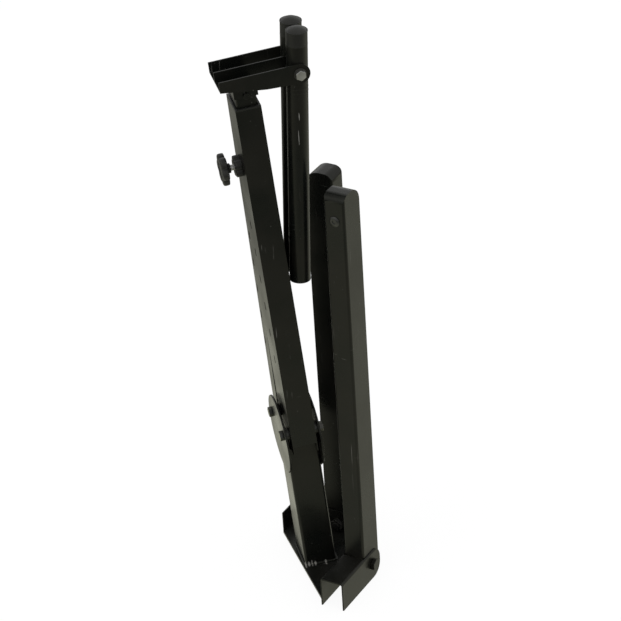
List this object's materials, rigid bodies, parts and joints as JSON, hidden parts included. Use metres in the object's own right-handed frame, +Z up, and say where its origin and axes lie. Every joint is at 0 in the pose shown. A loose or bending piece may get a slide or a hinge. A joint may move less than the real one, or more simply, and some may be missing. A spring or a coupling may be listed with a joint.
{
  "type": "keyboard stand",
  "caption": "Folding keyboard stand with a leaning telescopic column on a disc hinge, a slotted top bracket that carries swinging tube arms, and folded-sheet legs that swing down from its base.",
  "frame": {"origin": "on the floor, at the middle of the whole stand's outline as it stands folded up", "axes": "+Z up, +Y towards the back, the side the column tilts to; +X to the side that the arms swing out to"},
  "size_m": [0.19, 0.2506, 0.8876],
  "materials": {
    "black_paint": "semi-gloss black paint on sheet steel and tube",
    "black_plastic": "moulded black plastic with a slight sheen",
    "rubber": "matt black rubber",
    "zinc_steel": "dull zinc plate",
    "dark_steel": "dark zinc plate",
    "chrome": "bright chrome plate"
  },
  "bodies": {
    "base": {"base_plate": "black_paint", "right_channel": "black_paint", "left_clevis": "black_paint", "lower_post": "black_paint", "left_disc": "black_paint", "right_disc": "black_paint", "front_leg_bolt": "zinc_steel", "front_leg_nut": "zinc_steel", "rear_leg_bolt": "zinc_steel", "rear_leg_nut": "zinc_steel", "hinge_bolts": "dark_steel", "hinge_nuts": "dark_steel", "hinge_spacers": "zinc_steel"},
    "column": {"outer_column": "black_paint", "column_collar": "black_plastic", "knob_collar": "black_plastic"},
    "clamp": {"knob": "black_plastic", "knob_stud": "zinc_steel", "clamp_shoe": "rubber"},
    "slider": {"inner_post": "black_paint", "post_guide": "black_plastic", "post_head": "black_paint", "head_bolt": "dark_steel", "top_bracket": "black_paint", "bracket_bolts": "dark_steel", "arm_bolt": "chrome", "arm_nut": "chrome", "arm_washers": "chrome"},
    "front_arm": {"front_arm_tube": "black_paint", "front_arm_cap": "black_plastic", "front_arm_end": "black_plastic", "front_arm_bush": "zinc_steel"},
    "rear_arm": {"rear_arm_tube": "black_paint", "rear_arm_cap": "black_plastic", "rear_arm_end": "black_plastic", "rear_arm_bush": "zinc_steel"},
    "front_leg": {"front_leg_channel": "black_paint", "front_leg_bush": "zinc_steel", "front_leg_pad": "rubber", "front_leg_screw": "zinc_steel"},
    "rear_leg": {"rear_leg_channel": "black_paint", "rear_leg_bush": "zinc_steel", "rear_leg_pad": "rubber", "rear_leg_screw": "zinc_steel"}
  },
  "joints": [
    {"name": "column_tilt", "type": "hinge", "parent": "base", "child": "column", "pos_m": [-0.01214, 0.04803, 0.25495], "axis": [-0.9971, 0, -0.0767], "range_deg": [0, 20]},
    {"name": "post_slide", "type": "slide", "parent": "column", "child": "slider", "axis": [-0.0767, 0, 0.9971], "range_m": [0, 0.2]},
    {"name": "knob_turn", "type": "hinge", "parent": "column", "child": "clamp", "pos_m": [-0.08335, 0.01403, 0.68174], "axis": [-0.9971, 0, -0.0767], "range_deg": [0, 720]},
    {"name": "front_arm_swing", "type": "hinge", "parent": "slider", "child": "front_arm", "pos_m": [0.02085, -0.00247, 0.82466], "axis": [0, -1, 0], "range_deg": [0, 90]},
    {"name": "rear_arm_swing", "type": "hinge", "parent": "slider", "child": "rear_arm", "pos_m": [0.02085, 0.03053, 0.82466], "axis": [0, -1, 0], "range_deg": [0, 90]},
    {"name": "front_leg_fold", "type": "hinge", "parent": "base", "child": "front_leg", "pos_m": [0.06179, -0.04557, 0.025], "axis": [-0.7266, 0.6871, 0], "range_deg": [0, 90]},
    {"name": "rear_leg_fold", "type": "hinge", "parent": "base", "child": "rear_leg", "pos_m": [0.06625, 0.07325, 0.025], "axis": [-0.6871, -0.7266, 0], "range_deg": [0, 90]}
  ]
}
